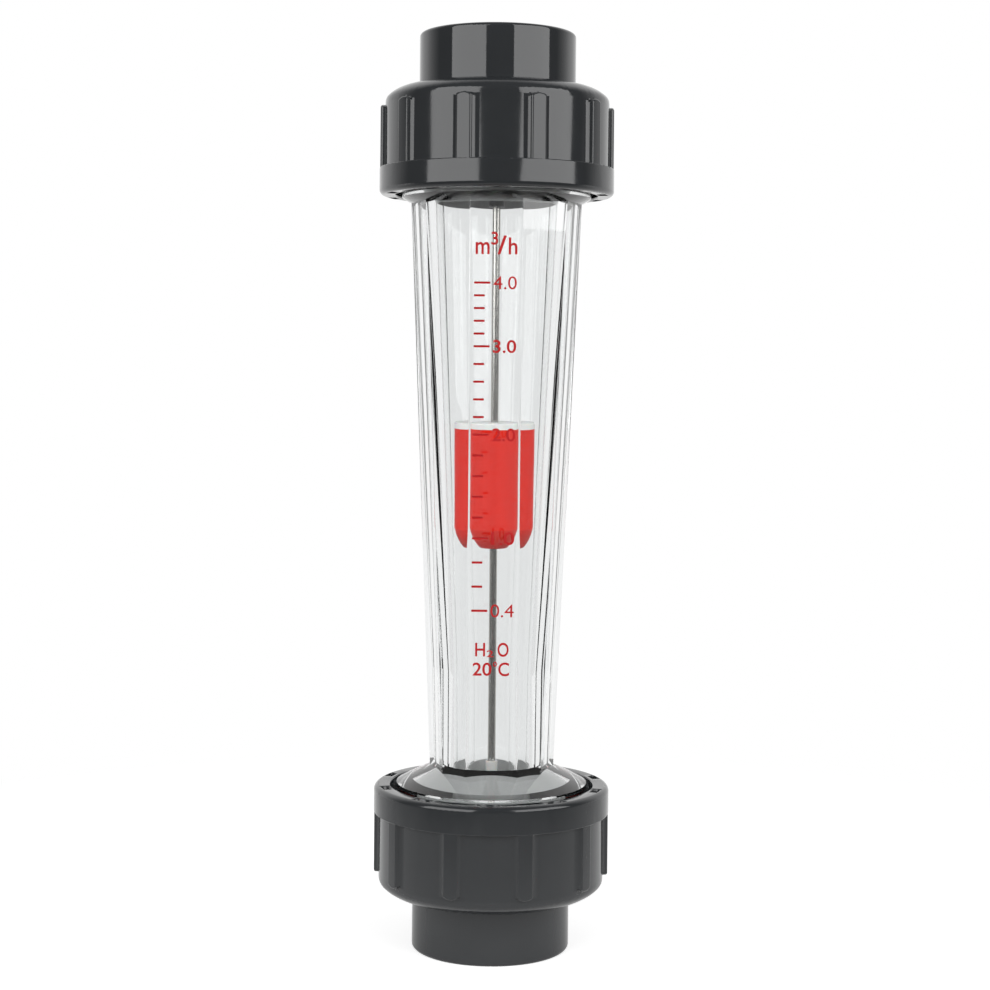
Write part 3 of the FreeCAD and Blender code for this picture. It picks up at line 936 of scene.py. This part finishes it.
@dataclass
class ClearTube:
    """Clear measuring tube in one piece: ten tapered flats, a dome with a rim at each end
    and a bore that widens upwards.

    Sizes are in millimetres, angles in degrees; heights are above the pipe end on that side.

    Attributes:
        low_half: Axis to the side corners at the lower rim, as top_half at the upper rim.
        front_half: Half the width of the front flat.
        lower_bore: Height and radius of the bore's lower end, as upper_bore of its upper end.
        straight: Straight part of the bore at its lower end.
        face_z: Height of the tube's end face.
        thread: Radius and height of the threaded part.
        seat: Radius and depth of the bracket lip's seat.
        shoulders: Height of each cavity's shoulder, lower and upper.
        foot_depth: The dome runs on this far behind the flats.
        swell: Dome's profile above a straight cone.
        bend: Half the length of the bore's bend into its taper.
        past: The hollow's tool runs on this far past the tube's ends.
    """

    rim_z: float = 54.6
    rim_radius: float = 31.5
    low_half: float = 20.33
    top_half: float = 28.46
    front_half: float = 8.45
    flat_turn: float = 36.0
    edge_round: float = 0.6
    edge_steps: int = 4
    lower_bore: Pair = (61.0, 12.9)
    upper_bore: Pair = (57.6, 23.6)
    straight: float = 31.0
    face_z: float = 30.0
    thread: Pair = (33.1, 49.6)
    seat: Pair = (27.0, 6.1)
    cavity_radius: float = 25.0
    shoulders: Pair = (53.0, 51.6)
    foot_depth: float = 1.7
    swell: float = 0.15
    bend: float = 1.0
    bend_steps: int = 4
    past: float = 1.0
    smooth_angle: float = 25.0

    def outline(self, half: float) -> list[Pair]:
        """Find the ten corners of the outside. The front and back flats keep their width, so
        the four corner flats are the ones that narrow.

        Args:
            half: Axis to the side corners.

        Returns:
            The corners in order, seen from above.
        """
        step = math.radians(self.flat_turn)
        flat = half * math.cos(step / 2)
        corner = self.front_half * math.sin(step) + flat * math.cos(step)
        near_x = (flat * math.cos(step) - corner * math.cos(2 * step)) / math.sin(step)
        near_y = (corner - near_x * math.sin(step)) / math.cos(step)
        quarter = [(self.front_half, -flat), (near_x, -near_y), (half, 0.0)]
        right = quarter + [(x, -y) for x, y in quarter[-2::-1]]
        return right + [(-x, y) for x, y in reversed(right)]

    def flats(self) -> Object:
        """Make the ten-sided bar from rim to rim.

        Returns:
            The bar.
        """
        low, high = self.outline(self.low_half), self.outline(self.top_half)
        clear_selection()
        bpy.ops.mesh.primitive_cylinder_add(vertices=len(low), radius=MM, depth=MM)
        piece = start_piece("tube_moulded")
        # the primitive's corners come in pairs, lower end first
        for index, vertex in enumerate(piece.data.vertices):
            upper = vertex.co.z > 0
            corner = (high if upper else low)[index // 2]
            vertex.co = Vector((*corner, TOTAL_LENGTH - self.rim_z if upper else self.rim_z)) * MM
        for edge in piece.data.edges:
            ends = [piece.data.vertices[index].co.z for index in edge.vertices]
            edge.select = abs(ends[0] - ends[1]) > MM
        set_mode("EDIT")
        bpy.ops.mesh.select_mode(type="EDGE")
        reach = self.edge_round * math.tan(math.radians(self.flat_turn / 2))
        bpy.ops.mesh.bevel(offset=reach * MM, segments=self.edge_steps)
        bpy.ops.mesh.select_mode(type="VERT")
        close_up()
        return piece

    def end_form(self, half: float, dome_top: float, upper: bool) -> Object:
        """Turn the outside of one end: thread, skirt, rim and dome.

        Args:
            half: Axis to the side corners of the flats at the rim.
            dome_top: Height of the dome's inner end.
            upper: True for the upper end.

        Returns:
            The solid end.
        """
        foot = half * math.cos(math.radians(self.flat_turn / 2)) - self.foot_depth
        middle = ((foot + self.rim_radius) / 2 + self.swell,
                  (dome_top + self.rim_z) / 2 + self.swell)
        thread_radius, thread_z = self.thread
        step = thread_radius - self.rim_radius
        dome = arc((self.rim_radius, self.rim_z), middle, (foot, dome_top))
        return turned("dome", [(0, self.face_z), (thread_radius, self.face_z), self.thread,
                               (self.rim_radius, thread_z + step), *dome, (0, dome_top)],
                      FINE_STEPS, upper)

    def waterway(self) -> Object:
        """Turn the hollow: lip seats, end cavities, straight part and taper.

        Returns:
            The hollow as a solid.
        """
        (low, low_radius), (drop, top_radius) = self.lower_bore, self.upper_bore
        high, turn = TOTAL_LENGTH - drop, low + self.straight
        seat_radius, seat_depth = self.seat
        foot, low_seat = self.face_z - self.past, self.face_z + seat_depth
        low_shoulder, top_shoulder = self.shoulders[0], TOTAL_LENGTH - self.shoulders[1]
        lean = self.bend * (top_radius - low_radius) / (high - turn)
        bend = arc((low_radius, turn - self.bend), (low_radius + lean / 4, turn),
                   (low_radius + lean, turn + self.bend), self.bend_steps)
        return turned("waterway", [
            (0, foot), (seat_radius, foot), (seat_radius, low_seat),
            (self.cavity_radius, low_seat), (self.cavity_radius, low_shoulder),
            (low_radius, low), *bend, (top_radius, high), (self.cavity_radius, top_shoulder),
            (self.cavity_radius, TOTAL_LENGTH - low_seat), (seat_radius, TOTAL_LENGTH - low_seat),
            (seat_radius, TOTAL_LENGTH - foot), (0, TOTAL_LENGTH - foot)], FINE_STEPS)

    def build(self, finishes: Finishes) -> None:
        """Make the tube.

        Args:
            finishes: All finishes.
        """
        piece = self.flats()
        combine(piece, self.end_form(self.low_half, self.lower_bore[0], False), "UNION")
        combine(piece, self.end_form(self.top_half, self.upper_bore[0], True), "UNION")
        combine(piece, self.waterway(), "DIFFERENCE")
        smooth(piece, self.smooth_angle)
        dress(piece, finishes.clear, Body.METER)
        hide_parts("measuring_tube")


@dataclass
class Mark:
    """One printed word and its box on the scale flat, in millimetres from the axis and
    above the lower pipe end."""

    text: str
    left: float
    right: float
    low: float
    high: float


@dataclass
class FlowScale:
    """Red scale printed on the front flat: ticks, numerals and units.

    Sizes are in millimetres; heights are above the lower pipe end.

    Attributes:
        low_y: The flat's place at low_z, as high_y is at high_z.
        gap: Flat to ink.
        line: Thickness of a tick, of which corner is a share.
        boldness: Thickening of the letters, as a share of their size.
        readings: Numeral, height, and steps down to the next one.
    """

    low_z: float = 61.0
    high_z: float = 246.9
    low_y: float = -19.592
    high_y: float = -27.010
    ink: float = 0.04
    gap: float = 0.02
    line: float = 0.7
    corner: float = 0.3
    long_tick: Pair = (-7.0, -1.8)
    short_tick: Pair = (-7.0, -3.5)
    numeral: Pair = (-0.8, 6.7)
    numeral_height: float = 4.2
    curve_steps: int = 6
    boldness: float = 0.013
    readings: tuple[tuple[str, float, int], ...] = (
        ("4.0", 219.3, 5), ("3.0", 198.9, 5), ("2.0", 170.5, 5), ("1.0", 137.1, 3),
        ("0.4", 113.7, 0))
    words: tuple[Mark, ...] = (
        Mark("m", -6.6, -2.1, 228.4, 232.3), Mark("3", -1.6, 0.6, 231.4, 235.6),
        Mark("/", 0.4, 3.4, 228.4, 234.4), Mark("h", 4.0, 6.8, 228.4, 233.8),
        Mark("H", -5.6, -2.4, 98.9, 103.3), Mark("2", -1.9, 0.3, 98.7, 100.9),
        Mark("O", 1.6, 5.2, 98.8, 103.4),
        Mark("20", -6.4, -0.3, 92.6, 96.9), Mark("o", 0.2, 1.5, 95.6, 97.2),
        Mark("C", 1.9, 5.4, 92.5, 97.0))

    def lean(self) -> float:
        """Angle of the flat from upright."""
        return math.atan2(self.low_y - self.high_y, self.high_z - self.low_z)

    def on_flat(self) -> Matrix:
        """Frame of the flat: x across, y up the flat, z out of it, origin at height 0."""
        foot_y = self.low_y + self.low_z * math.tan(self.lean())
        place = Matrix.Translation(Vector((0, foot_y, 0)) * MM)
        return place @ Matrix.Rotation(math.pi / 2 + self.lean(), 4, "X")

    def along(self, height: float) -> float:
        """Distance up the flat for a height, in millimetres."""
        return height / math.cos(self.lean())

    def bar(self, left: float, right: float, height: float) -> Object:
        """Print one tick.

        Args:
            left: Left end from the axis.
            right: Right end from the axis.
            height: Height of its middle.

        Returns:
            The tick, a thin bar of ink with rounded corners.
        """
        clear_selection()
        bpy.ops.mesh.primitive_cube_add(size=1)
        piece = start_piece("tick")
        piece.scale = Vector((right - left, self.line, self.ink)) * MM
        middle = Vector(((left + right) / 2, self.along(height), self.gap + self.ink / 2))
        piece.location = middle * MM
        settle(piece)
        set_mode("EDIT")
        bpy.ops.mesh.select_all(action="DESELECT")
        set_mode("OBJECT")
        for edge in piece.data.edges:
            ends = [piece.data.vertices[index].co for index in edge.vertices]
            edge.select = (ends[0] - ends[1]).xy.length < MERGE
        set_mode("EDIT")
        bpy.ops.mesh.bevel(offset=self.line * self.corner * MM, segments=BEVEL_STEPS)
        set_mode("OBJECT")
        return piece

    def word(self, mark: Mark) -> Object:
        """Print one word or sign, fitted to its box.

        Args:
            mark: The word and its box.

        Returns:
            The word as a thin mesh of ink.
        """
        clear_selection()
        bpy.ops.object.text_add()
        piece = start_piece("word")
        piece.data.body = mark.text
        piece.data.resolution_u = self.curve_steps
        # a thickened 4 would cross itself
        piece.data.offset = 0.0 if "4" in mark.text else self.boldness
        piece.data.extrude = 0.5    # any depth: the box below sets it
        bpy.ops.object.convert(target="MESH")
        piece = bpy.context.object
        corners = [vertex.co for vertex in piece.data.vertices]
        low = Vector(min(point[axis] for point in corners) for axis in range(3))
        high = Vector(max(point[axis] for point in corners) for axis in range(3))
        feet = Vector((mark.left, self.along(mark.low), self.gap)) * MM
        tops = Vector((mark.right, self.along(mark.high), self.gap + self.ink)) * MM
        for point in corners:
            for axis in range(3):
                share = (point[axis] - low[axis]) / (high[axis] - low[axis])
                point[axis] = feet[axis] + share * (tops[axis] - feet[axis])
        set_mode("EDIT")
        close_up()
        return piece

    def lay(self, pieces: list[Object], name: str, finishes: Finishes) -> None:
        """Join prints into one piece on the flat.

        Args:
            pieces: Prints in the flat's own frame.
            name: Piece name.
            finishes: All finishes.
        """
        piece = join(pieces, name)
        piece.data.transform(self.on_flat())
        dress(piece, finishes.ink, Body.METER)

    def build(self, finishes: Finishes) -> None:
        """Print the whole scale.

        Args:
            finishes: All finishes.
        """
        ticks, numerals = [], []
        for index, (reading, height, steps) in enumerate(self.readings):
            ticks.append(self.bar(*self.long_tick, height))
            half = self.numeral_height / 2
            numerals.append(self.word(Mark(reading, *self.numeral, height - half, height + half)))
            for step in range(1, steps):
                below = self.readings[index + 1][1]
                ticks.append(self.bar(*self.short_tick, height + (below - height) * step / steps))
        self.lay(ticks, "scale_ticks", finishes)
        self.lay(numerals, "scale_numerals", finishes)
        self.lay([self.word(mark) for mark in self.words], "scale_units", finishes)


# ---- studio ----
@dataclass
class Softbox:
    """Large upright lamp that faces the meter.

    Attributes:
        azimuth: Degrees from the front, positive to the right.
        span: Width as an angle at the meter, in degrees.
        low: Height of the lower edge in metres.
        radiance: Brightness of its face, where 1 is white.
        high: Height of the upper edge.
        reach: Distance in metres.
    """

    name: str
    azimuth: float
    span: float
    low: float
    radiance: float
    high: float = 1.3
    reach: float = 1.2

    def build(self) -> None:
        """Hang the lamp."""
        width = 2 * self.reach * math.tan(math.radians(self.span / 2))
        height = self.high - self.low
        lamp = bpy.data.lights.new(self.name, "AREA")
        lamp.shape = "RECTANGLE"
        lamp.size = width
        lamp.size_y = height
        lamp.energy = self.radiance * math.pi * width * height
        holder = bpy.data.objects.new(self.name, lamp)
        angle = math.radians(self.azimuth)
        holder.location = (self.reach * math.sin(angle), -self.reach * math.cos(angle),
                           (self.low + self.high) / 2)
        holder.rotation_euler = (math.pi / 2, 0, angle)
        holder.visible_camera = False
        bpy.context.scene.collection.objects.link(holder)


@dataclass
class Studio:
    """Camera, lamps, white surroundings and floor, in metres.

    Attributes:
        ambient: Light that matt surfaces get from all round.
        front: Headings along y between which wall rays pass from dark to their level.
        back: Headings along y between which gloss passes from dark to white.
    """

    distance: float = 0.675
    eye_height: float = 0.191
    lens: float = 73.7
    roll: float = 0.53
    shift_y: float = -0.1252
    shift_x: float = -0.0001
    floor_size: float = 40.0
    ambient: float = 0.25
    front: Pair = (-0.75, -0.3)
    back: Pair = (0.1, 0.6)

    def camera(self) -> None:
        """Place the camera at the usual viewing angle."""
        lens = bpy.data.cameras.new("camera")
        lens.lens = self.lens
        lens.shift_x = self.shift_x
        lens.shift_y = self.shift_y
        holder = bpy.data.objects.new("camera", lens)
        look = Matrix.Rotation(math.pi / 2, 4, "X")
        roll = Matrix.Rotation(math.radians(self.roll), 4, "Z")
        place = Matrix.Translation((0, -self.distance, self.eye_height))
        holder.matrix_world = place @ look @ roll
        bpy.context.scene.collection.objects.link(holder)
        bpy.context.scene.camera = holder

    def floor(self) -> None:
        """Lay the pale floor."""
        clear_selection()
        bpy.ops.mesh.primitive_plane_add(size=self.floor_size)
        paper = start_piece("floor")
        paper.data.materials.append(PaleFloor().build())

    def surroundings(self) -> None:
        """White all round to the eye, darker in front to gloss, dim to matt surfaces."""
        world = bpy.data.worlds.new("studio")
        world.use_nodes = True
        bpy.context.scene.world = world
        tree = world.node_tree
        tree.nodes.clear()
        heading = add_node(tree, "TexCoord")
        parts = add_node(tree, "SeparateXYZ", links={0: heading.outputs["Generated"]})
        wall = ranged(tree, parts.outputs["Y"], DARK_SIDE, WALL_LEVEL, *self.front)
        backdrop = calculate(
            tree, "MAXIMUM", ranged(tree, parts.outputs["Y"], DARK_SIDE, 1.0, *self.back),
            calculate(tree, "MULTIPLY", wall_rays(tree), wall))
        gloss = sight_rays(tree, gloss=True)
        matt = add_node(tree, "Mix", {2: self.ambient}, {0: gloss, 3: backdrop})
        eye = sight_rays(tree, gloss=False)
        level = add_node(tree, "Mix", {3: 1.0}, {0: eye, 2: matt.outputs[0]})
        light = add_node(tree, "Background", {"Color": WHITE}, {"Strength": level.outputs[0]})
        add_node(tree, "OutputWorld", links={"Surface": light.outputs["Background"]})

    def build(self) -> None:
        """Set up the whole studio."""
        self.camera()
        self.floor()
        self.surroundings()
        Softbox("left_softbox", azimuth=-43.5, span=53.0, low=0.17, radiance=3.1).build()
        # its foot is higher, so that the tube's right flats mirror none of it
        Softbox("right_softbox", azimuth=51.5, span=57.0, low=0.26, radiance=3.2).build()
        bpy.context.scene.view_settings.view_transform = "Standard"


def main() -> None:
    """Build the meter piece by piece."""
    logging.basicConfig(level=logging.INFO, format="%(name)s %(message)s")
    Studio().build()
    finishes = Finishes.make()
    ClearTube().build(finishes)
    Union("lower", Body.LOWER_NUT).build(finishes)
    Union("upper", Body.UPPER_NUT).build(finishes)
    Guide().build(finishes)
    Float().build(finishes)
    FlowScale().build(finishes)


if __name__ == "__main__":
    main()
